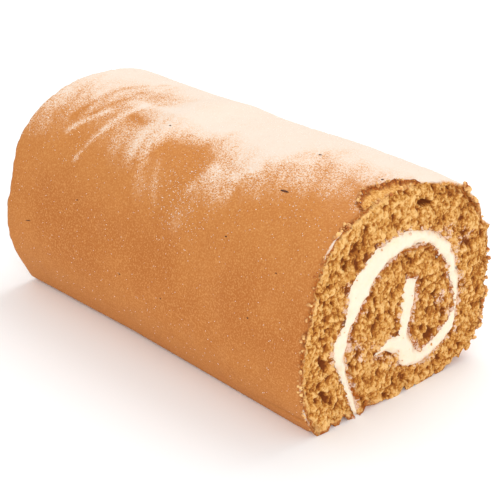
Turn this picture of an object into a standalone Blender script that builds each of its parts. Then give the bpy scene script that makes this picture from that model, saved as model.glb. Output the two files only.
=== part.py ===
"""Swiss roll cake: one sheet of sponge rolled up round a ribbon of cream, cut square at both ends.

The roll lies along X on a flat, settled underside at z = 0. Both pieces start as outlines in the
YZ plane, are pushed out along X, and are then shaped together, so that the cream always fits its slot.
"""

import math

import bmesh
import bpy

MM = 0.001

# The roll's outside
LENGTH = 162 * MM
HALF_WIDTH = 47.4 * MM
HEIGHT = 78 * MM
WIDEST_LEVEL = 29.5 * MM  # height at which the settled roll is widest
DOME_POWER = 2.3  # 2 would be an ellipse, and more is squarer
BASE_POWER = 2.64
BASE_DEPTH = 42 * MM  # the base's own curve, which the table cuts off flat
WAIST_LEVEL = 46 * MM  # a shallow waist along the front, above the cheek that rests on the table
WAIST_DEPTH = 2 * MM
WAIST_REACH = 9 * MM
OUTLINE_STEPS = 72

# The cream's route from the seam under the roll to the end of the core: y, z and half width in mm.
# The first point lies below the table, so that the slot opens through the underside.
CREAM_ROUTE = (
    (-18.6, -6.0, 0.8),
    (-22.0, 4.0, 0.8),
    (-25.2, 13.0, 1.0),
    (-28.4, 21.5, 1.7),
    (-29.6, 29.0, 3.1),
    (-24.8, 36.2, 1.6),
    (-22.6, 43.2, 4.1),
    (-17.2, 50.8, 4.1),
    (-8.5, 55.9, 3.5),
    (3.0, 57.6, 2.8),
    (13.5, 55.3, 2.0),
    (21.5, 48.8, 2.2),
    (26.6, 40.0, 2.0),
    (28.8, 31.0, 1.5),
    (28.4, 24.0, 0.8),
    (26.0, 17.6, 2.1),
    (18.5, 12.4, 2.5),
    (10.0, 10.9, 2.0),
    (3.8, 14.8, 4.0),
    (2.3, 22.4, 1.9),
    (2.0, 28.4, 2.5),
    (3.7, 34.6, 3.2),
    (4.1, 39.2, 3.3),
)
# A wedge of cream in the crack where the sheet was first bent over
CREAM_CRACK = (
    (3.0, 18.2, 3.0),
    (-1.6, 20.0, 2.9),
    (-6.4, 21.2, 1.8),
    (-11.6, 19.4, 0.6),
)
STEPS_BETWEEN_POINTS = 3
ROUND_END_STEPS = 6
GAP = 0.3 * MM  # air between cream and sponge
CREAM_SEAM_LEVEL = 1.4 * MM  # the cream stops this far above the table

# How the roll changes along its length, from the near cut at +X to the far cut at -X
SPARE = 10 * MM  # extra length, cut off square
FAR_SPREAD = 0.027  # share by which the far end is wider
SWELLS = (  # place along X, reach along X and height, for each swelling of the crown
    (-81 * MM, 16 * MM, 0.8 * MM),
    (-18 * MM, 8 * MM, 1.6 * MM),
    (38 * MM, 17 * MM, 1.0 * MM),
)
# Past this distance from the middle, the front of the base lifts and draws in towards the far end
HEEL_EDGE = 29 * MM
HEEL_REACH = 17 * MM
HEEL_TOP = 30 * MM  # nothing above this level lifts
HEEL_START = 70 * MM  # place along X where the lift begins
HEEL_RUN = 85 * MM  # length over which it grows to its full amount
HEEL_RISE = 2.5 * MM
HEEL_TUCK = 2.1 * MM
STATIONS = [place * MM for place in (-66, -48, -32, -25, -18, -11, -3, 15, 38, 64)]  # where it is divided

SPONGE_COLOUR = (0.70, 0.40, 0.13, 1)
CREAM_COLOUR = (0.96, 0.86, 0.66, 1)


def clear_scene():
    for old in list(bpy.data.objects):
        bpy.data.objects.remove(old)


def collection(name, hidden=False):
    made = bpy.data.collections.new(name)
    made.hide_render = hidden
    bpy.context.scene.collection.children.link(made)
    return made


def material(name, colour, roughness):
    made = bpy.data.materials.new(name)
    made.use_nodes = True
    shader = made.node_tree.nodes["Principled BSDF"]
    shader.inputs["Base Color"].default_value = colour
    shader.inputs["Roughness"].default_value = roughness
    shader.inputs["Metallic"].default_value = 0
    return made


def power_of(value, power):
    """The value raised to 2 / power, with its sign kept: the step from an ellipse to a squarer curve."""
    return math.copysign(abs(value) ** (2 / power), value)


def roll_outline():
    """The roll's outside in the YZ plane, from where it leaves the table at +Y, over the top to the heel."""
    contact = math.asin((WIDEST_LEVEL / BASE_DEPTH) ** (BASE_POWER / 2))
    dome = HEIGHT - WIDEST_LEVEL
    points = []
    for step in range(OUTLINE_STEPS + 1):
        turn = -contact + (math.pi + 2 * contact) * step / OUTLINE_STEPS
        upper = math.sin(turn) >= 0
        power = DOME_POWER if upper else BASE_POWER
        rise = dome if upper else BASE_DEPTH
        y = HALF_WIDTH * power_of(math.cos(turn), power)
        z = WIDEST_LEVEL + rise * power_of(math.sin(turn), power)
        if y < 0:
            y *= 1 - WAIST_DEPTH / HALF_WIDTH * math.exp(-(((z - WAIST_LEVEL) / WAIST_REACH) ** 2))
        points.append((y, max(z, 0.0)))
    points.append((-HEEL_EDGE, 0.0))
    return points


def smooth_route(knots):
    """Catmull-Rom curve through the knots, each y, z and half width in millimetres."""
    ends = [knots[0], *knots, knots[-1]]
    route = []
    for before, start, end, after in zip(ends, ends[1:], ends[2:], ends[3:]):
        for step in range(STEPS_BETWEEN_POINTS):
            t = step / STEPS_BETWEEN_POINTS
            route.append(
                [
                    MM * 0.5 * (2 * b + (c - a) * t + (2 * a - 5 * b + 4 * c - d) * t**2
                                + (3 * b - a - 3 * c + d) * t**3)
                    for a, b, c, d in zip(before, start, end, after)
                ]
            )
    route.append([MM * value for value in knots[-1]])
    return route


def ribbon_outline(knots, grow):
    """The closed outline of a ribbon that follows the knots and ends in a half round, grown all round."""
    route = smooth_route(knots)
    left, right = [], []
    for i, (y, z, half) in enumerate(route):
        y0, z0, _ = route[max(i - 1, 0)]
        y1, z1, _ = route[min(i + 1, len(route) - 1)]
        heading = math.atan2(z1 - z0, y1 - y0)
        reach = half + grow
        left.append((y - reach * math.sin(heading), z + reach * math.cos(heading)))
        right.append((y + reach * math.sin(heading), z - reach * math.cos(heading)))
    cap = []
    for step in range(1, ROUND_END_STEPS):
        turn = heading + math.pi / 2 - math.pi * step / ROUND_END_STEPS
        cap.append((y + reach * math.cos(turn), z + reach * math.sin(turn)))
    return left + cap + right[::-1]


def pushed_out(name, outline, folder):
    """A mesh object: the outline in the YZ plane, pushed out along X to more than the roll's length."""
    curve = bpy.data.curves.new(name, "CURVE")
    curve.dimensions = "2D"
    curve.fill_mode = "BOTH"
    curve.extrude = LENGTH / 2 + SPARE
    spline = curve.splines.new("POLY")
    spline.points.add(len(outline) - 1)
    spline.use_cyclic_u = True
    for point, (y, z) in zip(spline.points, outline):
        point.co = (y, z, 0, 1)
    flat = bpy.data.objects.new(name + "_outline", curve)
    flat.rotation_euler = (math.pi / 2, 0, math.pi / 2)
    folder.objects.link(flat)
    solid = bpy.data.objects.new(name, as_mesh(flat, name))
    solid.data.transform(flat.matrix_world)
    bpy.data.objects.remove(flat)
    folder.objects.link(solid)
    return solid


def as_mesh(item, name):
    """A welded copy of what the object's curve or modifiers make."""
    bpy.context.view_layer.update()
    graph = bpy.context.evaluated_depsgraph_get()
    mesh = bpy.data.meshes.new_from_object(item.evaluated_get(graph), depsgraph=graph)
    mesh.name = name
    work = bmesh.new()
    work.from_mesh(mesh)
    bmesh.ops.remove_doubles(work, verts=work.verts, dist=0.001 * MM)
    work.to_mesh(mesh)
    work.free()
    return mesh


def boolean(item, other, operation):
    step = item.modifiers.new(other.name, "BOOLEAN")
    step.operation = operation
    step.object = other
    step.solver = "EXACT"


def cut_at(work, place, normal, clear):
    """Cuts the mesh along a plane. Where the far side is cleared, the cut is closed with one face."""
    everything = [*work.verts, *work.edges, *work.faces]
    bmesh.ops.bisect_plane(
        work, geom=everything, dist=0.001 * MM, plane_co=place, plane_no=normal, clear_outer=clear
    )
    if clear:
        rim = [edge for edge in work.edges if edge.is_boundary]
        bmesh.ops.contextual_create(work, geom=rim)


def smooth_share(value):
    """A smooth rise from 0 to 1 as the value goes from 0 to 1."""
    share = min(max(value, 0), 1)
    return share * share * (3 - 2 * share)


def shaped(x, y, z):
    """Where a point of the straight roll goes: the far end spreads, the crown swells and the heel lifts."""
    far = 0.5 - x / LENGTH
    swell = sum(rise * math.exp(-(((x - place) / reach) ** 2)) for place, reach, rise in SWELLS)
    heel = min(max((HEEL_START - x) / HEEL_RUN, 0), 1)
    heel *= smooth_share((-y - HEEL_EDGE) / HEEL_REACH) * (1 - smooth_share(z / HEEL_TOP))
    wide = y * (1 + FAR_SPREAD * far) + HEEL_TUCK * heel
    return x, wide, z + swell * (z / HEIGHT) ** 2 + HEEL_RISE * heel


def finish(item, name, finish_material, folder, underside=None):
    """The finished node: cut to length, divided into stations along X and shaped."""
    work = bmesh.new()
    work.from_mesh(as_mesh(item, name))
    cut_at(work, (LENGTH / 2, 0, 0), (1, 0, 0), clear=True)
    cut_at(work, (-LENGTH / 2, 0, 0), (-1, 0, 0), clear=True)
    if underside is not None:
        cut_at(work, (0, 0, underside), (0, 0, -1), clear=True)
    for station in STATIONS:
        cut_at(work, (station, 0, 0), (1, 0, 0), clear=False)
    for vert in work.verts:
        vert.co = shaped(*vert.co)
    bmesh.ops.recalc_face_normals(work, faces=work.faces)
    mesh = bpy.data.meshes.new(name)
    work.to_mesh(mesh)
    work.free()
    mesh.materials.append(finish_material)
    mesh.shade_smooth()
    mesh.set_sharp_from_angle(angle=math.radians(40))
    node = bpy.data.objects.new(name, mesh)
    folder.objects.link(node)
    return node


def make_sponge(roll, guides):
    """The sheet of sponge: the whole roll, less a slot that is a little wider than the cream."""
    whole = pushed_out("whole_roll", roll_outline(), guides)
    slot = pushed_out("cream_slot", ribbon_outline(CREAM_ROUTE, GAP), guides)
    crack = pushed_out("crack_slot", ribbon_outline(CREAM_CRACK, GAP), guides)
    boolean(whole, slot, "DIFFERENCE")
    boolean(whole, crack, "DIFFERENCE")
    return finish(whole, "sponge", material("golden_sponge", SPONGE_COLOUR, 0.9), roll)


def make_cream(roll, guides):
    """The ribbon of cream with its wedge in the crack, stopped just above the underside."""
    ribbon = pushed_out("ribbon", ribbon_outline(CREAM_ROUTE, 0), guides)
    wedge = pushed_out("wedge", ribbon_outline(CREAM_CRACK, 0), guides)
    boolean(ribbon, wedge, "UNION")
    cream = material("vanilla_cream", CREAM_COLOUR, 0.5)
    return finish(ribbon, "cream_filling", cream, roll, underside=CREAM_SEAM_LEVEL)


clear_scene()
roll_parts = collection("swiss_roll")
guide_parts = collection("guides", hidden=True)
make_sponge(roll_parts, guide_parts)
make_cream(roll_parts, guide_parts)
for guide in list(guide_parts.objects):
    bpy.data.objects.remove(guide)
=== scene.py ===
import math

import bmesh
import bpy
import numpy as np
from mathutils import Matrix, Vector
from mathutils.geometry import delaunay_2d_cdt


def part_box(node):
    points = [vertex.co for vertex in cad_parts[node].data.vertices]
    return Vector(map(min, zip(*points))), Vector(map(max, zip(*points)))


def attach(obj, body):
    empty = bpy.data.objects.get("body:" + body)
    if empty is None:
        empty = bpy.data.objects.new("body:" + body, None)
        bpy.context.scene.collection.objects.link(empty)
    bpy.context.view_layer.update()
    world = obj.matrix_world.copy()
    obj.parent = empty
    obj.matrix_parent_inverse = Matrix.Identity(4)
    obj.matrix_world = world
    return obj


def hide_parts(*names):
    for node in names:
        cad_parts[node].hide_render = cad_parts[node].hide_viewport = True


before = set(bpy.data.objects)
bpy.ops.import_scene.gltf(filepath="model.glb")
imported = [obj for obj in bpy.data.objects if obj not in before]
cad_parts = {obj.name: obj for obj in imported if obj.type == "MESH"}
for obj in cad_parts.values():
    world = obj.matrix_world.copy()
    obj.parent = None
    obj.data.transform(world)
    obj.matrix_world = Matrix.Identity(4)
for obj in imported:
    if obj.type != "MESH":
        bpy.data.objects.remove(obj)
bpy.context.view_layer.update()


# The camera looks a little down on the roll's near cut end and its front side, through a long lens.
camera_data = bpy.data.cameras.new("camera")
camera_data.lens = 100
camera_data.sensor_width = 36
camera = bpy.data.objects.new("camera", camera_data)
camera.location = (0.3495, -0.3196, 0.2427)
camera.rotation_euler = (math.radians(90 - 24.41), 0, math.radians(47))
bpy.context.scene.collection.objects.link(camera)
bpy.context.scene.camera = camera


# The sponge sheet: fine golden crumb with a thin browned skin, baked flat, spread with cream, rolled up
# and cut square with a knife. The cuts show open crumb. The skin is torn away in places along the rim.
MM = 0.001
sponge_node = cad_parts["sponge"]
sponge_low, sponge_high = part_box("sponge")
near_cut = sponge_high.x
far_cut = sponge_low.x
roll_length = near_cut - far_cut

# Spacing of points: round the cuts, over the skin, along the underside and over the crumb of the two cuts.
fine_step = 0.5 * MM
skin_step = 1.1 * MM
floor_step = 2.5 * MM
near_crumb_step = 0.43 * MM
far_crumb_step = 0.75 * MM
# Depths of the fine rows of points behind each cut, for its ragged rim and the torn skin.
near_rows = np.array([0, 0.4, 0.8, 1.3, 1.8, 2.4, 3.0, 3.7, 4.4, 5.1, 5.8, 6.6, 7.4, 8.2, 9.1, 10]) * MM
far_rows = np.array([0, 0.5, 1.1, 1.9, 2.9, 4.0]) * MM


def lattice(cells, seed):
    """A repeatable value from -1 to 1 for each whole-numbered cell."""
    mixed = cells[..., 0] * 374761393 + cells[..., 1] * 668265263
    mixed = mixed + cells[..., 2] * 2147483647 + seed * 1274126177
    mixed = (mixed ^ (mixed >> 13)) * 1103515245
    mixed = (mixed ^ (mixed >> 16)) & 0xFFFFFF
    return mixed / float(0x7FFFFF) - 1


def lumps(places, size, seed):
    """Smooth random lumps of the given size, from -1 to 1, at each place."""
    scaled = np.asarray(places, dtype=float) / size
    cells = np.floor(scaled).astype(np.int64)
    part = scaled - cells
    part = part * part * (3 - 2 * part)
    total = 0
    for corner in np.ndindex(2, 2, 2):
        weight = np.prod(np.where(corner, part, 1 - part), axis=-1)
        total = total + weight * lattice(cells + corner, seed)
    return total


def rough(places, *kinds):
    """Lumps of several kinds added up. Each kind is a height, a size in millimetres and a seed."""
    return sum(height * lumps(places, size * MM, seed) for height, size, seed in kinds)


def ramp(value, low, high):
    """Smooth rise from 0 at low to 1 at high."""
    share = np.clip((value - low) / (high - low), 0, 1)
    return share * share * (3 - 2 * share)


def bump_at(value, middle, reach):
    """A rounded hump of height 1."""
    return np.exp(-(((value - middle) / reach) ** 2))


hair = 0.01 * MM  # places closer than this are taken as one


def cut_outline(node):
    """The outline of a node's near cut: its y and z, anticlockwise seen from the cut's side."""
    mesh = node.data
    edges = set()
    for face in mesh.polygons:
        corners = [mesh.vertices[i].co for i in face.vertices]
        if min(corner.x for corner in corners) > near_cut - hair:
            keys = [(round(corner.y / MM, 4), round(corner.z / MM, 4)) for corner in corners]
            edges.update(zip(keys, keys[1:] + keys[:1]))
    following = {a: b for a, b in edges if (b, a) not in edges}
    start = min(following)
    loop = [start]
    while following[loop[-1]] != start:
        loop.append(following[loop[-1]])
    return np.array(loop) * MM


def spaced(points, step, smooth=True):
    """Even points along an open line. A smooth line bends through the given points."""
    points = np.asarray(points)
    if smooth and len(points) > 2:
        ends = np.vstack([2 * points[0] - points[1], points, 2 * points[-1] - points[-2]])
        t = np.linspace(0, 1, 9)[:-1, None]
        bends = [
            0.5 * (2 * b + (c - a) * t + (2 * a - 5 * b + 4 * c - d) * t**2 + (3 * b - a - 3 * c + d) * t**3)
            for a, b, c, d in zip(ends, ends[1:], ends[2:], ends[3:])
        ]
        points = np.vstack(bends + [points[-1:]])
    travel = np.r_[0, np.cumsum(np.hypot(*np.diff(points, axis=0).T))]
    count = max(1, round(travel[-1] / step))
    marks = np.linspace(0, travel[-1], count + 1)
    return np.stack([np.interp(marks, travel, points[:, 0]), np.interp(marks, travel, points[:, 1])], axis=1)


# The loop starts at the seam's rear lip, runs back along the table, over the crown and down the front to the
# seam's front lip, then round the slot that holds the cream.
loop = cut_outline(sponge_node)
lips = [i for i, (y, z) in enumerate(loop) if z < hair and -30 * MM < y < -10 * MM]
rear_lip = max(lips, key=lambda i: loop[i, 0])
loop = np.roll(loop, -rear_lip, axis=0)
front_lip = max(i for i, (y, z) in enumerate(loop) if z < hair)
round_outside = loop[: front_lip + 1]
round_slot = np.vstack([loop[front_lip:], loop[:1]])
off_floor = np.flatnonzero(round_outside[:, 1] > hair)
rear_corner, front_corner = off_floor[0] - 1, off_floor[-1] + 1


def outside_line(step, under_step):
    """Points round the roll's outside, and each one's distance up and over from the front's contact line."""
    rear = spaced(round_outside[: rear_corner + 1], under_step, smooth=False)
    dome = spaced(round_outside[rear_corner : front_corner + 1], step)
    front = spaced(round_outside[front_corner:], under_step, smooth=False)
    line = np.vstack([rear[:-1], dome, front[1:]])
    travel = np.r_[0, np.cumsum(np.hypot(*np.diff(line, axis=0).T))]
    girth = travel[len(rear) - 1 + len(dome) - 1] - travel
    return line, girth


fine_line, fine_girth = outside_line(fine_step, fine_step)
_, skin_girth = outside_line(skin_step, floor_step)
slot_line = spaced(round_slot, fine_step)


# How the straight section changes along the roll, read from the node: its width and its crown.
node_places = np.array([vertex.co for vertex in sponge_node.data.vertices])
stations = np.unique(np.round(node_places[:, 0], 5))
station_width = []
station_crown = []
for station in stations:
    there = node_places[np.abs(node_places[:, 0] - station) < hair]
    station_width.append(np.ptp(there[:, 1]))
    station_crown.append(there[:, 2].max())
crown_level = station_crown[-1]
# Along the front, the base's edge lifts and draws in towards the far end. The heel is what lies between
# heel_edge and heel_reach further out, below heel_top. It sets in at heel_start and grows over heel_run.
heel_edge = 29 * MM
heel_reach = 17 * MM
heel_top = 30 * MM
heel_start = 70 * MM
heel_run = 85 * MM
heel_rise = 2.5 * MM
heel_tuck = 2.1 * MM
# Handling has worn the near cut: its rear lower corner is pushed up and in, and the crown droops.
wear_reach = 7 * MM
corner_lift = 4.2 * MM
corner_push = 1.6 * MM
crown_droop = 2 * MM


def settled(places):
    """Takes places in the straight roll to where its spread, swells, lifted heel and wear put them."""
    x, y, z = np.asarray(places).T
    spread = np.interp(x, stations, station_width) / station_width[-1]
    swell = 0
    softening = (-4, -2, 0, 2, 4)
    for shift in softening:
        crown = np.interp(x + shift * MM, stations, station_crown)
        swell = swell + (crown - crown_level) / len(softening)
    near_wear = bump_at(x, near_cut, wear_reach)
    up = corner_lift * bump_at(y, 41 * MM, 10 * MM) * bump_at(z, 0, 7 * MM)
    inwards = corner_push * bump_at(z, 3 * MM, 5 * MM) * ramp(y, 30 * MM, 44 * MM)
    down = crown_droop * bump_at(y, 17 * MM, 14 * MM) * ramp(z, 50 * MM, 77 * MM)
    heel = np.clip((heel_start - x) / heel_run, 0, 1)
    heel = heel * ramp(-y, heel_edge, heel_edge + heel_reach) * (1 - ramp(z, 0, heel_top))
    moved_y = y * spread - near_wear * inwards + heel_tuck * heel
    moved_z = z + swell * (z / crown_level) ** 2 + near_wear * (up - down) + heel_rise * heel
    return np.stack([x, moved_y, moved_z], axis=1)


# Holes in the near cut's crumb: y, z, width, height in millimetres, lean in degrees, and depth.
near_holes = (
    (9.6, 70.4, 7.4, 2.6, -4, 3), (-27, 57.3, 2.2, 3, -10, 2.4), (-23, 62, 1.9, 5.4, -14, 1.5),
    (-19, 67.6, 2.4, 3, 0, 1.1), (-35.2, 52.4, 2.4, 2.2, 0, 1.5), (-33.3, 46.2, 1.5, 2.8, 25, 1.5),
    (-36.4, 42.6, 2.2, 3.4, 20, 1.5), (-35.5, 38, 3.4, 3, 0, 0.9), (-37.7, 25.6, 1.9, 4.6, 30, 2.2),
    (-36, 13.4, 2.2, 5.6, 24, 2.2), (-29, 17, 1.4, 3, 20, 1.1), (-24, 21, 1.6, 2.2, 20, 1.8),
    (-20.4, 24.4, 2.4, 1.6, 0, 1.2), (-12.9, 29.6, 2, 5, -18, 1.3), (-13.2, 36.8, 1.8, 2, 0, 1.3),
    (-8, 40, 1.4, 1.8, 30, 1), (-5, 33.2, 1.1, 4.6, 14, 1.3), (-1.8, 34.6, 1.6, 1.8, 0, 1.4),
    (-2, 26.4, 2.2, 1.3, -40, 1.8), (-4.4, 17.5, 4, 1.4, -20, 2), (15.4, 18.2, 4.6, 4.4, -40, 1.9),
    (17.1, 33, 2, 2.2, -30, 1.9), (21.2, 37.4, 3.4, 2.4, 30, 1.3), (15.8, 28.2, 3.6, 1.1, -14, 1.2),
    (21.8, 22.4, 2.2, 1.5, -20, 2), (17, 47, 3.6, 3.2, 40, 0.9), (32, 51.8, 3.2, 1.7, 28, 1.5),
    (34.8, 46.6, 6, 1.7, -4, 1.1), (11.4, 54, 1.7, 1.5, 0, 1.8), (31.6, 65.8, 2.6, 2.4, -30, 1.6),
    (36.6, 62.2, 1.8, 2.4, -30, 1.2), (42.8, 53, 1.6, 4, 8, 1), (3.4, 4.6, 3.4, 2.8, 30, 1.2),
    (-2.2, 5.6, 1.5, 3.8, 14, 1.2), (-17, 2.6, 2.6, 1.9, -30, 1.2), (-8.6, 6.2, 2, 1.6, 0, 0.9),
    (36, 28, 1.4, 3.4, 8, 0.9), (41, 33, 3, 1.5, 20, 0.9), (27.6, 20.4, 1.4, 2, 0, 1.5),
    (22.4, 64.2, 3, 1.7, 0, 0.9), (20, 66.8, 1.8, 1.9, 0, 0.9), (24.4, 68.6, 1.9, 1.3, 0, 0.9),
    (27, 42, 2.2, 1.8, 0, 0.7), (12.6, 50.8, 2.6, 1.6, -12, 1.2), (3, 50.6, 3.4, 1.3, 0, 1),
    (-14.8, 43.6, 1.8, 3.2, -30, 1.1), (-21.6, 35, 1.6, 2.4, -30, 1.3),
)
# The far cut's holes, in the same way.
far_holes = (
    (-22, 66, 5, 2, -20, 1.8), (24, 60, 3.4, 2.2, 24, 1.6), (38, 40, 2.2, 4.6, 8, 1.8),
    (-38, 44, 2.2, 4.8, -14, 1.7), (-34, 16, 2.4, 4.2, 20, 1.9), (8, 22, 3.6, 2.2, -12, 1.5),
    (28, 12, 3.4, 2.4, 16, 1.8), (14, 44, 2.2, 2.8, 0, 1.3), (-12, 36, 2, 3.4, 18, 1.5),
)


def hole_depth(y, z, holes):
    """How deep the crumb's holes are at each place on a cut."""
    depth = np.zeros_like(y)
    for hole_y, hole_z, width, height, lean, deepest in holes:
        angle = math.radians(lean)
        across = (y - hole_y * MM) * math.cos(angle) + (z - hole_z * MM) * math.sin(angle)
        along = (z - hole_z * MM) * math.cos(angle) - (y - hole_y * MM) * math.sin(angle)
        inside = 1 - (1.6 * across / (width * MM)) ** 2 - (1.6 * along / (height * MM)) ** 2
        depth = np.maximum(depth, 1.25 * deepest * MM * np.clip(inside, 0, 1) ** 0.7)
    return depth


def bubbles(y, z, size, seed, lowest):
    """Open bubbles in cut crumb, a little taller than wide, about one to each square of the given size."""
    across, upright = y / (0.85 * size), z / (1.2 * size)
    column, row = np.floor(across).astype(np.int64), np.floor(upright).astype(np.int64)
    depth = np.zeros_like(y)
    for dy in (-1, 0, 1):
        for dz in (-1, 0, 1):
            cell = np.stack([column + dy, row + dz, np.full_like(column, seed)], axis=1)
            centre_y = cell[:, 0] + 0.5 + 0.5 * lattice(cell, 5)
            centre_z = cell[:, 1] + 0.5 + 0.5 * lattice(cell, 6)
            radius = 0.62 * np.clip(lattice(cell, 7) - lowest, 0.01, 1) ** 0.5
            gap = ((across - centre_y) ** 2 + (upright - centre_z) ** 2) / radius**2
            depth = np.maximum(depth, 0.75 * size * radius * np.clip(1 - gap, 0, 1) ** 0.7)
    return depth


def distance_to(y, z, line):
    """The distance from each place to the nearest point of a line."""
    nearest = np.full(len(y), 1.0)
    for start in range(0, len(line), 50):
        part = line[start : start + 50]
        gap = np.hypot(y[:, None] - part[:, 0], z[:, None] - part[:, 1])
        nearest = np.minimum(nearest, gap.min(axis=1))
    return nearest


def inside_loop(y, z, line):
    """Whether each place lies inside a closed loop."""
    crossings = np.zeros(len(y), dtype=int)
    for (y0, z0), (y1, z1) in zip(line, np.roll(line, -1, axis=0)):
        if z0 == z1:
            continue
        between = (z0 > z) != (z1 > z)
        crossings += between & (y < y0 + (z - z0) * (y1 - y0) / (z1 - z0))
    return crossings % 2 == 1


def filled(line, step, seed):
    """Points and triangles that fill a closed loop. The loop's own points come first."""
    rng = np.random.default_rng(seed)
    jitter = 0.22
    low, high = line.min(axis=0), line.max(axis=0)
    rows = np.arange(low[1], high[1], step * math.sqrt(0.75))
    columns = np.arange(low[0], high[0], step)
    grid_y, grid_z = np.meshgrid(columns, rows)
    grid_y[1::2] += step / 2
    y = grid_y.ravel() + rng.uniform(-jitter, jitter, grid_y.size) * step
    z = grid_z.ravel() + rng.uniform(-jitter, jitter, grid_z.size) * step
    keep = inside_loop(y, z, line)
    y, z = y[keep], z[keep]
    keep = distance_to(y, z, line) > 0.55 * step
    points = np.vstack([line, np.stack([y[keep], z[keep]], axis=1)])
    flat = [Vector(point) for point in points / MM]
    around = list(range(len(line)))
    made = delaunay_2d_cdt(flat, [], [around], 1, 1e-6)
    origin = [source[0] for source in made[3]]
    triangles = np.array([[origin[i] for i in face] for face in made[2]])
    return points, triangles


def zipped(one, other, one_marks, other_marks):
    """Triangles between two rows of point numbers that run side by side but differ in count."""
    made = []
    i = j = 0
    while i < len(one) - 1 or j < len(other) - 1:
        next_one = one_marks[i + 1] if i < len(one) - 1 else math.inf
        next_other = other_marks[j + 1] if j < len(other) - 1 else math.inf
        if next_one <= next_other:
            made.append((one[i], one[i + 1], other[j]))
            i += 1
        else:
            made.append((one[i], other[j + 1], other[j]))
            j += 1
    return made


def outward(line, closed=False):
    """The outward direction at each point of a line that runs anticlockwise round a shape."""
    run = np.gradient(np.vstack([line, line[:1]]) if closed else line, axis=0)[: len(line)]
    run /= np.hypot(*run.T)[:, None]
    return np.stack([run[:, 1], -run[:, 0]], axis=1)


# Where the icing sugar lies, in millimetres. For places along the roll: how far up and over the girth the
# skin is bare, where it is half hidden, and where it is hidden altogether.
sugar_levels = (
    (-81, 60, 83, 111), (-70, 64, 86, 113), (-60, 68, 93, 118), (-50, 70, 101, 125), (-43, 68, 102, 123),
    (-35, 65, 98, 116), (-28, 62, 92, 109), (-22, 62, 87, 104), (-16, 66, 87, 100), (-10, 82, 91, 99),
    (0, 85, 91, 97), (7, 86, 95, 104), (12, 78, 92, 103), (18, 65, 84, 99), (25, 64, 84, 98),
    (30, 64, 82, 96), (35, 66, 86, 98), (40, 70, 92, 108), (48, 72, 98, 122), (60, 76, 100, 116),
    (70, 79, 102, 117), (81, 82, 105, 120),
)
# Strokes where the sugar was dragged or wiped: the ends of each stroke as place along the roll and girth,
# its half width, and how much sugar it adds.
sugar_strokes = (
    (-48, 89, -58, 74, 1.3, 0.42), (-39, 98, -42, 80, 1.8, 0.34), (-42, 80, -46, 65, 1.4, 0.30),
    (-52, 119, -59, 104, 1.3, -0.26), (-58, 106, -61, 80, 1.8, -0.30), (-50, 98, -54, 84, 1.6, -0.20),
    (-37, 90, -28, 88, 2.2, -0.34), (-44, 97, -22, 100, 2.4, 0.30), (-49, 105, -30, 110, 4.5, -0.26),
    (-24, 92, -20, 74, 2.8, 0.10), (-17, 88, -12, 74, 2.2, 0.14), (-7, 76, 2, 61, 1.0, 0.16),
    (-24, 80, -9, 68, 7, 0.14), (15, 86, 30, 83, 2.0, -0.12), (18, 82, 14, 70, 2.2, 0.22),
    (27, 80, 34, 87, 1.8, 0.25), (20, 76, 14, 56, 4.0, 0.10), (44, 106, 54, 102, 4.5, -0.16),
    (66, 97, 74, 96, 3.0, -0.14), (2, 158, 14, 156, 4.0, -0.25), (-60, 156, -22, 158, 3.5, -0.22),
    (36, 93, 46, 98, 2.0, 0.15),
)


def sugar_cover(x, girth, places):
    """How thickly the sugar lies at each place on the skin, from 0 to 1."""
    along, round_it = x / MM, girth / MM
    table = np.array(sugar_levels).T
    bare, half, full = (np.interp(along, table[0], level) for level in table[1:])
    cover = 0.5 * np.clip((round_it - bare) / (half - bare), 0, 1) ** 1.2
    cover = cover + 0.5 * np.clip((round_it - half) / (full - half), 0, 1) ** 0.85
    for x0, g0, x1, g1, reach, amount in sugar_strokes:
        run_x, run_g = x1 - x0, g1 - g0
        share = np.clip(((along - x0) * run_x + (round_it - g0) * run_g) / (run_x**2 + run_g**2), 0, 1)
        gap = np.hypot(along - x0 - share * run_x, round_it - g0 - share * run_g)
        cover = cover + amount * bump_at(gap, 0, reach)
    slanted = np.stack([x + 0.35 * girth, girth * 0.2, girth * 0], axis=1)
    mottle = rough(places, (0.12, 7, 31), (0.09, 3, 32)) + rough(slanted, (0.17, 3, 33))
    cover = cover + mottle * np.clip(4 * cover * (1 - cover), 0.08, 1)
    cover = cover + rough(places, (0.05, 9, 35)) - 0.02
    # A little sugar is caught on the rim of the near cut, low on the front and at its shoulder.
    caught = (near_cut - x < 0.9 * MM) * ramp(lumps(places, 4 * MM, 34), -0.1, 0.2)
    caught = caught * (bump_at(round_it, 15, 8) + bump_at(round_it, 74, 9))
    cover = np.maximum(cover, caught)
    down_the_back = ramp(round_it, 150, 190)
    return np.clip(cover, 0, 1) * (1 - 0.85 * down_the_back)


# The patch by the near cut where the skin has come away: for places round the girth, how far it reaches
# back, in millimetres.
torn_reach = (
    (86.5, 0), (88.5, 2.4), (91, 4.6), (94, 6.0), (98, 5.6), (103, 4.8), (108, 3.6), (112, 1.8), (115, 0),
)


def torn_share(x, girth, places):
    """How far the skin is torn off the crumb, from 0 to 1, and how near the tear's back edge is."""
    round_it = girth / MM
    reach = np.interp(round_it, *np.array(torn_reach).T, left=-9, right=-9)
    depth = (near_cut - x) / MM + rough(places, (1.1, 2.0, 41), (0.5, 1.0, 40))
    patch = ramp(reach - depth, -0.3, 0.3)
    band = ramp(reach - depth, -1.9, -0.9) * (1 - ramp(reach - depth, 0.1, 0.7))
    ragged = 0.9 + rough(places, (1.3, 3.2, 42)) - depth
    worn = 3.0 + rough(places, (2.2, 3, 43)) - depth
    ragged_rim = ramp(round_it, 112, 118) * ramp(ragged, -0.3, 0.4)
    worn_rim = ramp(round_it, 170, 184) * ramp(worn, -0.3, 0.4)
    return np.clip(patch + ragged_rim + worn_rim, 0, 1), band


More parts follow.
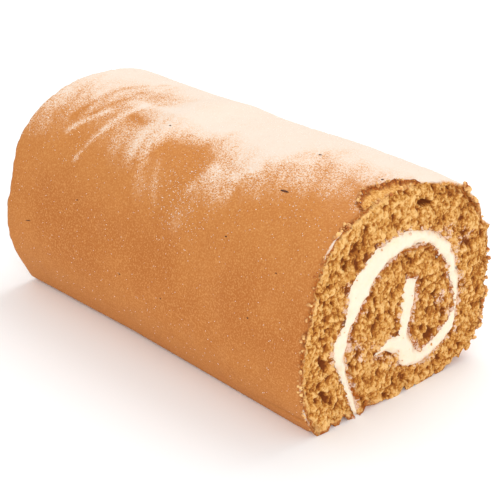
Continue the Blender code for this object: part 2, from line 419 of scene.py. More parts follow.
def skin_lift(x, girth, places):
    """How far each place on the outside stands out from the plain roll, and what covers it there."""
    round_it = girth / MM
    from_cut = np.minimum(near_cut - x, x - far_cut) / MM
    near = x > 0
    off_table = ramp(round_it, -0.5, 4) * ramp(-round_it, -212, -206)
    torn, band = torn_share(x, girth, places)
    torn_far = 0.4 * ramp(0.4 + rough(places, (0.8, 3, 44)) - from_cut, -0.3, 0.4) * (1 - near)
    torn = np.clip(torn * near + torn_far, 0, 1)
    band = band * near
    sugar = sugar_cover(x, girth, places) * (1 - torn) * (1 - 0.9 * band)
    # The skin's own swells, the sugar's thickness, then the torn patch and the crust at its back edge.
    lift = rough(places, (0.30, 17, 51), (0.10, 5, 52))
    lift += sugar * (0.16 + rough(places, (0.10, 1.7, 53), (0.1, 3.4, 54)))
    lift += torn * (-1.0 + rough(places, (0.44, 2.0, 55), (0.34, 1.0, 56)))
    lift += band * (0.45 + rough(places, (0.8, 1.5, 58)))
    # The rims: a little rounded everywhere, and broken down the back of the near cut.
    lift += bump_at(from_cut, 0, 1.3) * (rough(places, (0.16, 2.2, 57)) - 0.18)
    worn = near * bump_at(from_cut, 0, 2.4)
    broken = worn * ramp(round_it, 108, 200)
    lift += broken * (rough(places, (1.9, 3.0, 59), (0.9, 1.4, 60)) - 0.4)
    # A shallow fold low on the front, by the near cut, with painted shade along it in the skin's colour.
    crease_and_shade = bump_at(round_it, 7.2 + 0.03 * (x / MM - 60), 0.8) * ramp(x / MM, 48, 66)
    lift -= crease_and_shade * 0.45
    # Underneath, the skin lies flat, and only the near cut's lower edge is chipped.
    chipped = worn * (rough(places, (2.8, 3.0, 61), (1.2, 1.5, 64)) + 0.5)
    lift = lift * off_table - (1 - off_table) * np.clip(chipped, 0, 2.4)
    # A thin browned line edges the near cut, up the front to the torn patch.
    edging = near * bump_at(from_cut, 0, 0.9) * (1 - ramp(round_it, 86, 90))
    edging = 1.3 * edging * (0.75 + rough(places, (0.6, 3.5, 65))) * (1 - sugar)
    band = np.maximum(band, edging).clip(0, 1)
    return lift * MM, torn * off_table, sugar * off_table, crease_and_shade, band


vertices = []
faces = []
face_is_crumb = []
marks = {"pore_shade": [], "rind": [], "smear": [], "sugar": [], "torn": [], "crease_and_shade": [], "band": []}
vertex_total = 0


def add_places(places, **values):
    """Adds points, with what covers each of them, and gives their numbers."""
    global vertex_total
    count = len(places)
    vertices.append(places)
    for name, kept in marks.items():
        kept.append(np.broadcast_to(values.get(name, 0.0), count).astype(float))
    numbers = np.arange(vertex_total, vertex_total + count)
    vertex_total += count
    return numbers


def add_faces(made, crumb):
    """Adds faces, which are either cut crumb or browned skin."""
    faces.extend(tuple(int(i) for i in face) for face in made)
    face_is_crumb.extend([crumb] * len(made))


def on_skin(x, girth, above=0.0):
    """Places on the outside surface, and what covers the skin there."""
    marks_up, line_up, out_up = fine_girth[::-1], fine_line[::-1], outward(fine_line)[::-1]
    line = np.stack([np.interp(girth, marks_up, line_up[:, i]) for i in (0, 1)], axis=1)
    out = np.stack([np.interp(girth, marks_up, out_up[:, i]) for i in (0, 1)], axis=1)
    plain = np.stack([np.broadcast_to(x, len(girth)), line[:, 0], line[:, 1]], axis=1)
    lift, torn, sugar, crease_and_shade, band = skin_lift(plain[:, 0], girth, plain)
    plain[:, 1:] += out * (lift + above)[:, None]
    broken = 0.55 * torn * ramp(girth / MM, 112, 122) * ramp(lumps(plain, 3.6 * MM, 62), 0.0, 0.4)
    baked = np.clip(np.maximum(band, broken) + 2.4 * torn * (1 - torn), 0, 1)
    return settled(plain), dict(torn=torn, sugar=sugar, crease_and_shade=crease_and_shade, rind=baked, band=band)


cream_loop = cut_outline(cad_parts["cream_filling"])
core_points = [i for i, (y, z) in enumerate(cream_loop) if 0 < y < 9 * MM and z < 46 * MM]
core_end = max(core_points, key=lambda i: cream_loop[i, 1])
seam_end = min(range(len(cream_loop)), key=lambda i: cream_loop[i, 1])
cream_loop = np.roll(cream_loop, -seam_end, axis=0)
core_end = (core_end - seam_end) % len(cream_loop)
cream_sides = (spaced(cream_loop[: core_end + 1], 0.6 * MM), spaced(cream_loop[core_end:], 0.6 * MM))
# The inner turns' browned skin faces the cream on the side where the loop comes nearer the roll's middle.
middle = np.array([3, 33]) * MM
skin_side, crumb_side = sorted(cream_sides, key=lambda side: np.hypot(*(side - middle).T).mean())

# Where cream was dragged over the crumb: y, z and reach in millimetres, and how thickly.
dragged = (
    (31, 50, 4.5, 0.8), (34.5, 49.6, 2.2, 0.8), (22, 55, 4, 0.6), (28, 46, 3, 0.6), (33.5, 31.5, 2.6, 0.6),
    (20, 31, 3.2, 0.9), (22, 27, 3.4, 0.7), (26, 24, 3, 0.6), (8.6, 36, 1.8, 0.8), (6.6, 27, 2, 0.7),
    (-21, 27, 3.6, 0.8), (-19, 22.5, 3.2, 0.8), (-14, 24, 2.6, 0.6), (-11, 19, 3, 0.9), (-6, 15.6, 2.6, 0.7),
    (-3, 12.6, 2.4, 0.7), (9, 17, 2, 0.8), (30, 15, 2.6, 0.7), (-30, 22, 2, 0.5), (-23, 8, 2, 0.7),
    (-27, 50.5, 2, 0.5), (-8.2, 33, 1.6, 0.7), (-18, 38, 1.6, 0.5), (9.8, 12, 1.6, 0.7), (-35, 8, 1.4, 0.4),
)
# Where the browned skin shows at the near cut's rim, in the same way.
rind_zones = (
    (29, 69.5, 5, 1.0), (37, 64, 5, 1.0), (43.5, 56, 4, 1.0), (45.5, 13, 3.4, 1.0), (46.5, 20, 2.6, 0.9),
    (47, 29, 2.0, 0.5), (-15.5, 2.5, 3.4, 1.2), (-19, 7.5, 3.0, 1.0), (-22, 12, 2.4, 0.8),
    (-41, 2, 2.6, 0.7),
)


def near_zone(y, z, zones):
    """The strongest of some soft round zones at each place."""
    strongest = np.zeros_like(y)
    for zone_y, zone_z, reach, amount in zones:
        near = amount * np.exp(-((y / MM - zone_y) ** 2 + (z / MM - zone_z) ** 2) / reach**2)
        strongest = np.maximum(strongest, near)
    return strongest


def knife_sway(y, z, seed):
    """How far a cut strays from flat, where the knife pulled the soft crumb."""
    return 0.45 * MM * lumps(np.stack([y, z, np.full_like(y, seed)], axis=1), 9 * MM, seed + 5)


def crumb_marks(y, z, holes, seed):
    """The crumb's relief on a cut, and what colours it, including painted shade in its hollows and painted
    highlight on its tops.
    """
    places = np.stack([y, z, np.full_like(y, seed)], axis=1)
    wavy = places.copy()
    for axis in (0, 1):
        wavy[:, axis] += MM * lumps(places, 2.4 * MM, seed + 1 + axis)
        wavy[:, axis] += 0.6 * MM * lumps(places, 1.0 * MM, seed + 11 + axis)
    depth = hole_depth(wavy[:, 0], wavy[:, 1], holes)
    # Open bubbles of three sizes, more of them where the crumb is open, between granules of two sizes.
    wavy_y, wavy_z = 0.5 * (wavy + places)[:, :2].T
    open_crumb = 0.25 * lumps(places, 9 * MM, seed + 9)
    for size, lowest in ((1.3, -0.5), (2.1, -0.1), (3.6, 0.15)):
        depth = np.maximum(depth, bubbles(wavy_y, wavy_z, size * MM, seed, lowest - open_crumb))
    granules = bubbles(wavy_y, wavy_z, 1.25 * MM, seed + 20, -0.8)
    granules = np.maximum(granules, bubbles(wavy_y, wavy_z, 2.0 * MM, seed + 21, -0.3))
    grain = rough(places, (0.26, 2.6, seed + 3), (0.22, 1.2, seed + 4), (0.18, 0.65, seed + 8))
    grain += 0.9 * (granules / MM - 0.3)
    sway = knife_sway(y, z, seed)
    relief = grain * MM - 0.9 * depth
    # Painted shade and highlight: this mark is high in the holes and bubbles and where the knife's sway sets
    # the cut back, and low on the granules, so the crumb's colour darkens in hollows and pales on tops.
    pore_shade = depth / (1.25 * MM) - 1.25 * grain - 0.3 * sway / MM
    # The relief is flatter at the rim, and beside the cream it is rough but never deep.
    to_skin_side = distance_to(y, z, skin_side)
    to_cream = np.minimum(to_skin_side, distance_to(y, z, crumb_side))
    to_outside = distance_to(y, z, fine_line)
    relief = relief * (0.25 + 0.75 * ramp(to_outside, 0, 1.4 * MM))
    beside = 1 - ramp(to_cream, 1.4 * MM, 2.6 * MM)
    relief += beside * rough(places, (0.9, 1.5, seed + 12), (0.5, 0.8, seed + 13)) * MM
    deepest = 0.75 + 3 * ramp(to_cream, 1.6 * MM, 3.6 * MM)
    relief = np.maximum(relief, -deepest * MM) + sway
    under_skin = (y < -8 * MM) * (1 - ramp(to_outside, 1.2 * MM, 3.4 * MM))
    pore_shade = pore_shade * (1 - 0.6 * under_skin) - 0.5 * under_skin
    # Browned skin, seen edge on: at the front rim, along the cream's skin side and in a few wider zones.
    patchy = 0.65 + rough(places, (0.9, 2.0, seed + 10))
    front_rim = (y < -16 * MM) * (2.5 - to_outside / (0.62 * MM)) * (patchy + 0.45)
    beside_cream = (1.6 - to_skin_side / (1.9 * MM)) * (patchy + 0.15)
    at_rim = ramp(4.0 * MM - np.minimum(to_outside, to_skin_side + 0.8 * MM), 0, 2.4 * MM)
    zones = 1.4 * near_zone(y, z, rind_zones) * at_rim * (patchy + 0.3)
    rind = np.maximum(np.maximum(front_rim, beside_cream), zones)
    # Cream dragged off the ribbon's edges, and further out in the smeared zones.
    smear = 1.05 - to_cream / (1.9 * MM) + rough(places, (0.9, 1.6, seed + 6))
    smear *= 0.75 + 0.25 * (to_skin_side < 3 * MM)
    spread = near_zone(y, z, dragged) * (0.75 + rough(places, (1.0, 1.3, seed + 7)))
    smear = np.maximum(smear, spread)
    rind, smear = np.clip(rind, 0, 1), np.clip(smear, 0, 1)
    return relief, dict(pore_shade=np.clip(pore_shade, -1, 1), rind=rind, smear=smear, torn=1.0)


whole_loop = np.vstack([fine_line[:-1], slot_line[:-1]])
outside_count = len(fine_line) - 1
torn_sink = 1.3 * MM  # how far torn crumb sinks behind the cut


def add_end(x, facing, step, holes, seed):
    """Adds one cut's face, and gives the points of its rim and of the slot's edge."""
    points, triangles = filled(whole_loop, step, seed)
    y, z = points.T
    relief, values = crumb_marks(y, z, holes, seed)
    plain = np.stack([np.full(len(y), x), y, z], axis=1)
    plain[:, 0] += relief * facing
    edge, edge_values = on_skin(x, fine_girth)
    nearest = np.array([np.hypot(*(fine_line - point).T).argmin() for point in points[outside_count:]])
    gap = np.hypot(*(fine_line[nearest] - points[outside_count:]).T)
    worn = edge_values["torn"][nearest] * bump_at(gap, 0, 1.7 * MM)
    plain[outside_count:, 0] -= facing * torn_sink * worn
    plain[:outside_count, 0] -= facing * torn_sink * edge_values["torn"][:-1]
    placed = settled(plain)
    pulled = np.vstack([edge[:-1, 1:] - placed[:outside_count, 1:], edge[-1:, 1:] * 0])
    placed[:outside_count, 1:] = edge[:-1, 1:]
    placed[outside_count:, 1:] += pulled[nearest] * np.clip(1 - gap / (5 * MM), 0, 1)[:, None]
    for name in ("sugar", "torn", "band"):
        value = np.broadcast_to(values.get(name, 0.0), len(y)).astype(float)
        value[:outside_count] = edge_values[name][:-1]
        values[name] = value
    numbers = add_places(placed, **values)
    add_faces(numbers[triangles], True)
    rim = np.r_[numbers[:outside_count], numbers[outside_count]]
    slot = np.r_[numbers[outside_count : len(whole_loop)], numbers[0]]
    return rim, slot


def add_strip(one, other, crumb):
    """Quads between two rings of as many points."""
    add_faces(np.stack([one[:-1], one[1:], other[1:], other[:-1]], axis=1), crumb)


def add_fine_rings(rim, x, facing, depths):
    """The fine rings behind a rim, from the rim inwards."""
    rings = [rim]
    for depth in depths[1:]:
        places, values = on_skin(x - facing * depth, fine_girth)
        rings.append(add_places(places, **values))
        add_strip(rings[-2], rings[-1], False)
    return rings


near_seed, far_seed = 100, 200
near_rim, near_slot = add_end(near_cut, 1, near_crumb_step, near_holes, near_seed)
far_rim, far_slot = add_end(far_cut, -1, far_crumb_step, far_holes, far_seed)
near_rings = add_fine_rings(near_rim, near_cut, 1, near_rows)
far_rings = add_fine_rings(far_rim, far_cut, -1, far_rows)

skin_start = near_cut - near_rows[-1]
skin_end = far_cut + far_rows[-1]
skin_rows = np.linspace(skin_start, skin_end, round(roll_length / skin_step))[1:-1]
skin_rings = []
for row in skin_rows:
    places, values = on_skin(row, skin_girth)
    skin_rings.append(add_places(places, **values))
for one, other in zip(skin_rings, skin_rings[1:]):
    add_strip(one, other, False)
add_faces(zipped(near_rings[-1], skin_rings[0], -fine_girth, -skin_girth), False)
add_faces(zipped(skin_rings[-1], far_rings[-1], -skin_girth, -fine_girth), False)

slot_depths = np.array([0, 0.8 * MM, 3 * MM, 12 * MM, roll_length / 2, roll_length - 3 * MM, roll_length])
walls = [near_slot[1:-1]]
for depth in slot_depths[1:-1]:
    plain = np.stack([np.full(len(slot_line), near_cut - depth), *slot_line.T], axis=1)
    walls.append(add_places(settled(plain[1:-1]), torn=1.0, smear=0.6))
walls.append(far_slot[1:-1])
for one, other in zip(walls, walls[1:]):
    add_strip(one, other, True)
ring_depths = np.r_[near_rows, near_cut - skin_rows, roll_length - far_rows[::-1]]
all_rings = near_rings + skin_rings + far_rings[::-1]
for lip, side in ((-1, 0), (0, -1)):
    lip_column = [ring[lip] for ring in all_rings]
    wall_column = [wall[side] for wall in walls]
    add_faces(zipped(lip_column, wall_column, ring_depths, slot_depths), True)


def solid_piece(name, places, made_faces):
    """A closed, smooth-shaded mesh piece with its faces pointing out."""
    mesh = bpy.data.meshes.new(name)
    mesh.from_pydata(np.asarray(places).tolist(), [], [tuple(map(int, face)) for face in made_faces])
    work = bmesh.new()
    work.from_mesh(mesh)
    bmesh.ops.recalc_face_normals(work, faces=work.faces)
    work.to_mesh(mesh)
    work.free()
    mesh.shade_smooth()
    piece = bpy.data.objects.new(name, mesh)
    bpy.context.scene.collection.objects.link(piece)
    return piece


def mark_points(piece, name, values):
    """Stores one number for each of the piece's points, for its material."""
    layer = piece.data.attributes.new(name, "FLOAT", "POINT")
    layer.data.foreach_set("value", np.asarray(values, dtype=np.float32))


class Finish:
    """A procedural finish, with short names for the shader nodes that build it up."""

    def __init__(self, name, roughness, **sockets):
        self.material = bpy.data.materials.new(name)
        self.material.use_nodes = True
        self.tree = self.material.node_tree
        self.surface = self.tree.nodes["Principled BSDF"]
        self.surface.inputs["Roughness"].default_value = roughness
        for socket, value in sockets.items():
            self.surface.inputs[socket.replace("_", " ")].default_value = value
        self.place = self.add("ShaderNodeTexCoord").outputs["Object"]

    def add(self, kind, inputs=None, **settings):
        """Adds a shader node. Inputs are sockets to link or values to set."""
        made = self.tree.nodes.new(kind)
        for key, value in settings.items():
            setattr(made, key, value)
        for key, value in (inputs or {}).items():
            if isinstance(value, bpy.types.NodeSocket):
                self.tree.links.new(value, made.inputs[key])
            else:
                made.inputs[key].default_value = value
        return made

    def mark(self, name):
        """A number that the piece's points hold."""
        return self.add("ShaderNodeAttribute", attribute_name=name).outputs["Fac"]

    def noise(self, size, detail=2.0):
        """Cloudy variation with clouds of the given size."""
        inputs = {"Vector": self.place, "Scale": 1 / size, "Detail": detail, "Roughness": 0.55}
        return self.add("ShaderNodeTexNoise", inputs).outputs[0]

    def spots(self, size):
        """The distance to the nearest of many scattered points, the given size apart."""
        inputs = {"Vector": self.place, "Scale": 1 / size}
        return self.add("ShaderNodeTexVoronoi", inputs).outputs["Distance"]

    def math(self, operation, one, other=0.0):
        return self.add("ShaderNodeMath", {0: one, 1: other}, operation=operation).outputs[0]

    def rise(self, value, low, high, start=0.0, end=1.0):
        """A smooth change from start to end while the value goes from low to high."""
        inputs = {"Value": value, "From Min": low, "From Max": high, "To Min": start, "To Max": end}
        return self.add("ShaderNodeMapRange", inputs, interpolation_type="SMOOTHSTEP").outputs[0]

    def blend(self, share, one, other):
        """Mixes a share of the other colour into the first."""
        made = self.add("ShaderNodeMix", {"Factor": share}, data_type="RGBA")
        for socket, colour in ((made.inputs[6], one), (made.inputs[7], other)):
            if isinstance(colour, bpy.types.NodeSocket):
                self.tree.links.new(colour, socket)
            else:
                socket.default_value = (*colour, 1)
        return made.outputs[2]

    def clouded(self, one, other, size, low, high, detail=3, most=1.0):
        """The first colour with clouds of the other, which cover it where the cloudiness passes high."""
        return self.blend(self.rise(self.noise(size, detail), low, high, 0, most), one, other)

    def bumped(self, height, distance, strength=1.0):
        inputs = {"Height": height, "Distance": distance, "Strength": strength}
        bump = self.add("ShaderNodeBump", inputs)
        self.tree.links.new(bump.outputs[0], self.surface.inputs["Normal"])

    def painted(self, colour):
        self.tree.links.new(colour, self.surface.inputs["Base Color"])
        return self.material


# The pale and the two darker crumb colours also serve as painted highlight on the crumb's ridges and painted
# shade in its pores and holes.
crumb_gold = (0.63, 0.290, 0.061)
pale_crumb_and_highlight = (0.87, 0.53, 0.20)
brown_for_shade_and_spots = (0.37, 0.118, 0.016)
hole_shade_and_char_brown = (0.17, 0.036, 0.005)
rind_orange = (0.40, 0.104, 0.012)
rind_dark = (0.19, 0.045, 0.007)
smear_pink = (0.83, 0.60, 0.47)


def crumb_colour(finish):
    """Golden crumb: painted highlight on the ridges, painted shade in the pores and deep holes, orange-brown
    rind and dragged cream.
    """
    pore_shade = finish.mark("pore_shade")
    fine = finish.rise(finish.noise(0.8 * MM, 4), 0.3, 0.7, -0.45, 0.45)
    level = finish.math("ADD", pore_shade, fine)
    # Painted highlight pales the granules' tops, and painted shade browns the pores, darkest in the deep
    # holes.
    colour = finish.blend(finish.rise(level, 0.2, -0.55), crumb_gold, pale_crumb_and_highlight)
    colour = finish.clouded(colour, crumb_gold, 7 * MM, 0.4, 0.7, 2, 0.3)
    colour = finish.blend(finish.rise(level, 0.12, 0.62, 0, 0.95), colour, brown_for_shade_and_spots)
    colour = finish.blend(finish.rise(pore_shade, 0.62, 1, 0, 0.9), colour, hole_shade_and_char_brown)
    patchy = finish.rise(finish.noise(1.1 * MM, 3), 0.34, 0.60, 0.5, 1)
    baked = finish.clouded(rind_orange, rind_dark, 1.4 * MM, 0.46, 0.66)
    colour = finish.blend(finish.math("MULTIPLY", finish.mark("rind"), patchy), colour, baked)
    streaks = finish.rise(finish.noise(0.7 * MM, 3), 0.3, 0.7, -0.45, 0.35)
    film = finish.math("ADD", finish.mark("smear"), streaks)
    film = finish.math("SUBTRACT", film, finish.rise(level, 0.1, 0.8, 0, 0.35))
    return finish.blend(finish.rise(film, 0.3, 0.9, 0, 0.88), colour, smear_pink)


crumb_finish = Finish("golden_crumb", 0.92, Specular_IOR_Level=0.2)
crumb_finish.bumped(crumb_finish.noise(0.5 * MM, 4), 0.4 * MM, 1.0)
crumb_finish.painted(crumb_colour(crumb_finish))

skin_tan = (0.525, 0.193, 0.043)
skin_dark = (0.43, 0.132, 0.023)
skin_light = (0.68, 0.315, 0.098)
sugar_white = (0.79, 0.675, 0.57)
sugar_thin = (0.75, 0.43, 0.23)

def skin_colour(finish):
    """Tan skin, a little darker along the front's middle, mottled, with small darker spots, painted shade
    along the fold low on the front and a dusting of sugar.
    """
    height = finish.add("ShaderNodeSeparateXYZ", {0: finish.place}).outputs["Z"]
    dim = finish.math("MULTIPLY", finish.rise(height, 0.012, 0.032), finish.rise(height, 0.040, 0.066, 1, 0))
    dim = finish.math("MULTIPLY", dim, finish.rise(finish.noise(28 * MM, 2), 0.3, 0.65, 0.2, 0.8))
    skin = finish.blend(dim, skin_tan, skin_dark)
    skin = finish.clouded(skin, skin_dark, 9 * MM, 0.4, 0.75, most=0.3)
    skin = finish.clouded(skin, skin_light, 0.6 * MM, 0.44, 0.68, most=0.6)
    skin = finish.clouded(skin, skin_dark, 0.8 * MM, 0.5, 0.72, most=0.4)
    skin = finish.blend(finish.rise(finish.spots(3.1 * MM), 0.03, 0.085, 0.75, 0), skin, brown_for_shade_and_spots)
    # Painted shade along the shallow fold low on the front.
    skin = finish.blend(finish.math("MULTIPLY", finish.mark("crease_and_shade"), 0.5), skin, brown_for_shade_and_spots)
    # The sugar breaks up into grains and clumps where it is neither thick nor missing.
    powder = finish.mark("sugar")
    speckle = finish.rise(finish.noise(0.55 * MM, 3), 0.36, 0.64, -0.6, 0.6)
    clumps = finish.rise(finish.noise(1.4 * MM, 3), 0.34, 0.66, -0.2, 0.2)
    room = finish.math("MULTIPLY", powder, finish.math("SUBTRACT", 1.04, powder))
    grainy = finish.math("MULTIPLY", finish.math("ADD", speckle, clumps), finish.math("MULTIPLY", room, 2.0))
    powder = finish.math("ADD", powder, grainy)
    skin = finish.blend(finish.rise(powder, -0.04, 0.6), skin, sugar_thin)
    skin = finish.blend(finish.rise(powder, 0.15, 1.15), skin, sugar_white)
    # Bare crumb where the skin is torn off, and dark crust round its edge.
    skin = finish.blend(finish.mark("torn"), skin, crumb_colour(finish))
    crust = finish.clouded(rind_orange, rind_dark, 1.2 * MM, 0.40, 0.56)
    crust = finish.clouded(crust, crumb_gold, 0.9 * MM, 0.54, 0.7)
    return finish.blend(finish.mark("band"), skin, crust)


skin_finish = Finish("browned_skin", 0.8, Specular_IOR_Level=0.2)
skin_finish.bumped(skin_finish.noise(0.4 * MM, 3), 0.08 * MM, 0.5)
skin_finish.painted(skin_colour(skin_finish))

sponge = solid_piece("sponge_sheet", np.vstack(vertices), faces)
for name, kept in marks.items():
    mark_points(sponge, name, np.concatenate(kept))
sponge.data.materials.append(crumb_finish.material)
sponge.data.materials.append(skin_finish.material)
sponge.data.polygons.foreach_set("material_index", [0 if crumb else 1 for crumb in face_is_crumb])
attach(sponge, "root")
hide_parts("sponge")


# The cream filling: soft, ivory vanilla cream, spread over the sheet before it was rolled. The knife cut it
# almost flat and dragged a little of it over the crumb beside it.
cream_step = 0.42 * MM
cream_spread = 1.1 * MM  # how far the cream reaches into the crumb's open edge
closed_cream = spaced(np.vstack([cream_loop, cream_loop[:1]]), 0.3 * MM)[:-1]
grown = closed_cream + outward(closed_cream, closed=True) * cream_spread
grown = grown[distance_to(*grown.T, closed_cream) > cream_spread * 0.93]
cream_line = spaced(np.vstack([grown, grown[:1]]), cream_step, smooth=False)[:-1]
# The edge wavers, bulges out at three places and pulls in at two, but runs true near the table.
bulges = ((-15, 60.5, 1.5, 1.0), (-34.5, 24, 1.6, 0.7), (30.5, 36, 1.4, 0.6))
nips = ((-29, 38.5, 2.0, 1.0), (-0.5, 26, 1.2, 0.6))
line_places = np.stack([cream_line[:, 0], cream_line[:, 1], cream_line[:, 0] * 0], axis=1)
waver = rough(line_places, (0.9, 1.8, 61), (0.7, 3.6, 62), (0.5, 0.9, 63))
waver += 2.2 * near_zone(*cream_line.T, bulges) - 1.5 * near_zone(*cream_line.T, nips)
waver *= MM * ramp(cream_line[:, 1], 3 * MM, 6 * MM)
cream_line = cream_line + outward(cream_line, closed=True) * waver[:, None]

cream_places = []
cream_faces = []
cream_total = 0


def add_cream(plain):
    """Adds places of the straight cream and gives their numbers."""
    global cream_total
    cream_places.append(settled(plain))
    cream_total += len(plain)
    return np.arange(cream_total - len(plain), cream_total)


def cream_sink(edge):
    """How far the cream's cut face lies behind the cut, by the distance from its edge."""
    return 1.0 - 1.1 * ramp(edge, 0, 2.5 * MM)


def add_cream_end(x, facing, seed, crumb_seed):
    """The cream's cut face: nearly flat, with soft drag marks, and sinking at its edge into the crumb."""
    points, triangles = filled(cream_line, cream_step, seed)
    plain = np.stack([np.full(len(points), x), *points.T], axis=1)
    relief = rough(plain, (0.12, 2.4, seed), (0.12, 8, seed + 1))
    relief += rough(plain * np.array([1, 1, 3]), (0.07, 2.0, seed + 2))
    relief -= cream_sink(distance_to(*points.T, cream_line))
    plain[:, 0] += facing * (relief * MM + knife_sway(*points.T, crumb_seed))
    numbers = add_cream(plain)
    cream_faces.extend(numbers[triangles])
    return numbers[: len(cream_line)]


cream_rows = [add_cream_end(near_cut, 1, 71, near_seed)]
for depth in slot_depths[1:-1]:
    plain = np.stack([np.full(len(cream_line), near_cut - depth), *cream_line.T], axis=1)
    cream_rows.append(add_cream(plain))
cream_rows.append(add_cream_end(far_cut, -1, 75, far_seed))
for one, other in zip(cream_rows, cream_rows[1:]):
    cream_faces.extend(np.stack([one, np.roll(one, -1), np.roll(other, -1), other], axis=1))

cream_ivory = (0.90, 0.765, 0.59)
cream_deep = (0.88, 0.70, 0.45)
cream_finish = Finish("vanilla_cream", 0.55, Subsurface_Weight=0.25, Subsurface_Scale=0.002)
cream_finish.surface.inputs["Subsurface Radius"].default_value = (1.0, 0.75, 0.45)
cream = cream_finish.clouded(cream_ivory, cream_deep, 3 * MM, 0.45, 0.8, most=0.5)
cream = cream_finish.clouded(cream, pale_crumb_and_highlight, 1.5 * MM, 0.68, 0.78, 2, 0.6)
cream_finish.bumped(cream_finish.noise(1.2 * MM, 3), 0.12 * MM, 0.4)
cream_finish.painted(cream)

cream_piece = solid_piece("cream_swirl", np.vstack(cream_places), cream_faces)
cream_piece.data.materials.append(cream_finish.material)
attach(cream_piece, "root")
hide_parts("cream_filling")


# Loose crumbs: rough bits of sponge that the knife left hanging on the rim of the near cut. They lie
# thickest on the torn patch and along the lower rear edge.
work = bmesh.new()
bmesh.ops.create_icosphere(work, subdivisions=2, radius=1)
ball = np.array([vert.co for vert in work.verts])
ball_faces = np.array([[vert.index for vert in face.verts] for face in work.faces])
work.free()


def rough_bits(name, centres, sizes, seed):
    """Many small rough lumps joined into one piece."""
    rng = np.random.default_rng(seed)
    places, made = [], []
    for number, (centre, size) in enumerate(zip(centres, sizes)):
        own = ball + 3 * number
        swell = 1 + 0.45 * lumps(own, 0.8, seed) + 0.25 * lumps(own, 0.4, seed + 1)
        shape = ball * swell[:, None] * rng.uniform(0.6, 1.1, 3)
        turn, _ = np.linalg.qr(rng.standard_normal((3, 3)))
        places.append(shape @ turn * size + centre)
        made.append(ball_faces + number * len(ball))
    return solid_piece(name, np.vstack(places), np.vstack(made))


rng = np.random.default_rng(12)
# Stretches of the rim, in millimetres round the girth, and the number of crumbs on each.
crumb_stretches = ((2, 84, 60), (88, 112, 44), (140, 190, 34), (190, 214, 50))
rim_girths = np.concatenate([rng.uniform(*stretch) for stretch in crumb_stretches]) * MM
rim_depths = rng.uniform(-0.2, 1.4, len(rim_girths)) * MM
torn_back = np.interp(rim_girths / MM, *np.array(torn_reach).T, left=0, right=0)
rim_depths += torn_back * MM * (rng.random(len(rim_girths)) < 0.7)
centres, _ = on_skin(near_cut - rim_depths, rim_girths, 0.15 * MM)
crumb_sizes = rng.uniform(0.3, 0.85, len(rim_girths)) ** 1.3 * MM
crumb_sizes *= 1 + 0.35 * (rim_girths > 140 * MM)
loose = rough_bits("rim_crumbs", centres, crumb_sizes, 13)
loose_finish = Finish("loose_crumb", 0.9)
loose_colour = loose_finish.clouded(rind_orange, pale_crumb_and_highlight, 2.2 * MM, 0.35, 0.65)
loose_finish.bumped(loose_finish.noise(0.5 * MM, 3), 0.2 * MM, 0.8)
loose.data.materials.append(loose_finish.painted(loose_colour))
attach(loose, "root")


# Crumbs on the cream: small bits of sponge that the knife dragged onto the cut cream, mostly along its
# edge. They are wet with cream, so they are paler and pinker than the crumb.
rng = np.random.default_rng(17)
by_edge, further_in = 198, 12
on_edge = rng.integers(0, len(cream_line), by_edge + further_in)
inwards = np.r_[rng.uniform(-0.2, 1.2, by_edge), rng.uniform(1.2, 3.2, further_in)] * MM
on_cream = cream_line[on_edge] - outward(cream_line, closed=True)[on_edge] * inwards[:, None]
inside_cream = inside_loop(*on_cream.T, cream_line) & (on_cream[:, 1] > 2.5 * MM)
on_cream, inwards = on_cream[inside_cream], inwards[inside_cream]
stands_out = knife_sway(*on_cream.T, near_seed) + (0.05 - cream_sink(inwards)) * MM
centres = settled(np.column_stack([near_cut + stands_out, on_cream]))
dragged_bits = rough_bits("cream_crumbs", centres, rng.uniform(0.18, 0.5, len(centres)) * MM, 18)
bits_finish = Finish("dragged_crumb", 0.9)
bits_colour = bits_finish.clouded(crumb_gold, smear_pink, 1.5 * MM, 0.35, 0.65)
bits_finish.bumped(bits_finish.noise(0.4 * MM, 3), 0.15 * MM, 0.8)
dragged_bits.data.materials.append(bits_finish.painted(bits_colour))
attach(dragged_bits, "root")


# Icing sugar: fine grains dusted over the crown, thinning out down the front. The thick dusting is the
# skin's own relief, and these are the single grains and little clumps that lie loose at its edge.
rng = np.random.default_rng(21)
tries = 90000
grain_x = rng.uniform(far_cut + 1 * MM, near_cut - 0.5 * MM, tries)
grain_girth = rng.uniform(8, 175, tries) * MM
_, here = on_skin(grain_x, grain_girth)
edge_zone = ramp(here["sugar"], 0.02, 0.3) * (1 - 0.75 * ramp(here["sugar"], 0.5, 0.9))
sprinkle = 0.35 * bump_at(grain_x, 13 * MM, 12 * MM) * bump_at(grain_girth, 67 * MM, 11 * MM)
dust = 0.012 + 0.05 * ramp(grain_girth, 50 * MM, 85 * MM)
chosen = rng.random(tries) < (0.20 * edge_zone + sprinkle + dust) * (1 - here["torn"])
grain_x, grain_girth = grain_x[chosen], grain_girth[chosen]
centres, _ = on_skin(grain_x, grain_girth, 0.03 * MM)
grain_sizes = rng.uniform(0.07, 0.2, len(grain_x)) * MM
octahedron = np.array([(1, 0, 0), (-1, 0, 0), (0, 1, 0), (0, -1, 0), (0, 0, 1), (0, 0, -1)], dtype=float)
sides = np.array([(0, 2, 4), (2, 1, 4), (1, 3, 4), (3, 0, 4), (2, 0, 5), (1, 2, 5), (3, 1, 5), (0, 3, 5)])
grain_places = []
for centre, size in zip(centres, grain_sizes):
    turn, _ = np.linalg.qr(rng.standard_normal((3, 3)))
    grain_places.append(octahedron @ turn * size + centre)
grain_faces = np.vstack([sides + len(octahedron) * number for number in range(len(centres))])
sugar = solid_piece("sugar_grains", np.vstack(grain_places), grain_faces)
sugar_finish = Finish("icing_sugar", 0.6)
sugar_bright = (0.97, 0.93, 0.88)
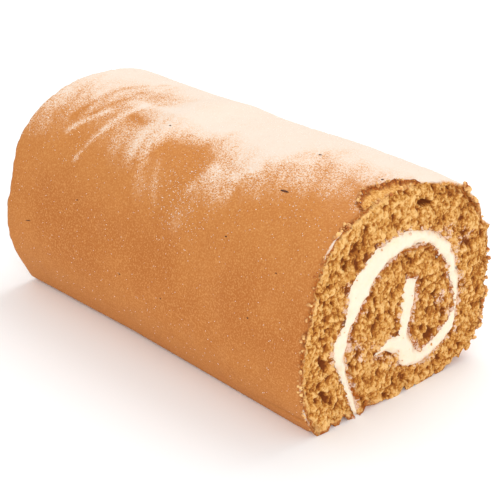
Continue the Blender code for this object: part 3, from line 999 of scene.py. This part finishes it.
sugar_colour = sugar_finish.clouded(sugar_white, sugar_bright, 0.5 * MM, 0.3, 0.7, 2)
sugar_finish.bumped(sugar_finish.noise(0.2 * MM), 0.03 * MM, 0.3)
sugar.data.materials.append(sugar_finish.painted(sugar_colour))
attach(sugar, "root")


# Dark flecks: a few burnt flakes from the baking sheet that stuck to the skin. They are thin and lie flat,
# half sunk in the sugar.
# Place along the roll, girth, length, width and lean, in millimetres and degrees.
fleck_table = (
    (50.5, 82.4, 3.6, 0.8, 6), (45, 105, 1.2, 0.7, 20), (-16, 90.5, 1, 0.6, 0), (55.5, 38.2, 0.8, 0.5, 0),
    (-39, 51, 0.9, 0.4, 20), (39, 60.5, 1, 0.4, 10), (-10, 31.6, 0.9, 0.4, 0), (12.5, 30, 0.8, 0.5, 0),
    (64, 56.4, 0.6, 0.5, 0), (-66, 35, 3.2, 0.35, 14), (0, 160.5, 1.6, 0.7, 30), (73, 105, 1, 0.9, 0),
)
fleck_places, fleck_faces = [], []
for number, (place, girth, length, width, lean) in enumerate(fleck_table):
    shape = ball * (1 + 0.25 * lumps(ball + 5 * number, 0.6, 81))[:, None]
    lean = math.radians(lean)
    along = shape[:, 0] * length / 2 * math.cos(lean) - shape[:, 1] * width / 2 * math.sin(lean)
    across = shape[:, 0] * length / 2 * math.sin(lean) + shape[:, 1] * width / 2 * math.cos(lean)
    on, _ = on_skin((place + along) * MM, (girth + across) * MM)
    base, _ = on_skin((place + along) * MM, (girth + across) * MM, 1 * MM)
    fleck_places.append(on + (base - on) * (shape[:, 2:] * 0.16 * width + 0.06))
    fleck_faces.append(ball_faces + number * len(ball))
flecks = solid_piece("dark_flecks", np.vstack(fleck_places), np.vstack(fleck_faces))
fleck_finish = Finish("burnt_fleck", 0.8)
burnt = (0.045, 0.012, 0.003)
fleck_colour = fleck_finish.clouded(burnt, hole_shade_and_char_brown, 0.6 * MM, 0.4, 0.8, 2)
fleck_finish.bumped(fleck_finish.noise(0.4 * MM), 0.05 * MM, 0.5)
flecks.data.materials.append(fleck_finish.painted(fleck_colour))
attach(flecks, "root")


# The studio: a plain, nearly white table, a soft lamp above and behind the roll, a wider one in front, and
# an even white surround.
bpy.ops.mesh.primitive_plane_add(size=12, location=(0, 0, 0))
floor = bpy.context.object
floor.name = "floor"
floor_finish = Finish("table", 0.9)
floor_pale = (0.93, 0.93, 0.93)
floor_palest = (0.95, 0.95, 0.95)
floor_colour = floor_finish.clouded(floor_pale, floor_palest, 0.4, 0.3, 0.7, 2)
floor.data.materials.append(floor_finish.painted(floor_colour))


def soft_light(name, place, target, size, power):
    """A round, soft lamp that faces its target."""
    data = bpy.data.lights.new(name, "AREA")
    data.shape = "DISK"
    data.size = size
    data.energy = power
    lamp = bpy.data.objects.new(name, data)
    lamp.location = place
    lamp.rotation_euler = (Vector(target) - Vector(place)).to_track_quat("-Z", "Y").to_euler()
    bpy.context.scene.collection.objects.link(lamp)


roll_middle = (0, 0, 0.04)
soft_light("key", (-0.1, 0.55, 0.95), roll_middle, 0.7, 4.0)
soft_light("fill", (1.6, -1.2, 1.0), roll_middle, 1.2, 18)
world = bpy.data.worlds.new("studio")
world.use_nodes = True
world.node_tree.nodes["Background"].inputs["Color"].default_value = (1, 1, 1, 1)
world.node_tree.nodes["Background"].inputs["Strength"].default_value = 0.86
bpy.context.scene.world = world
bpy.context.scene.view_settings.view_transform = "Standard"
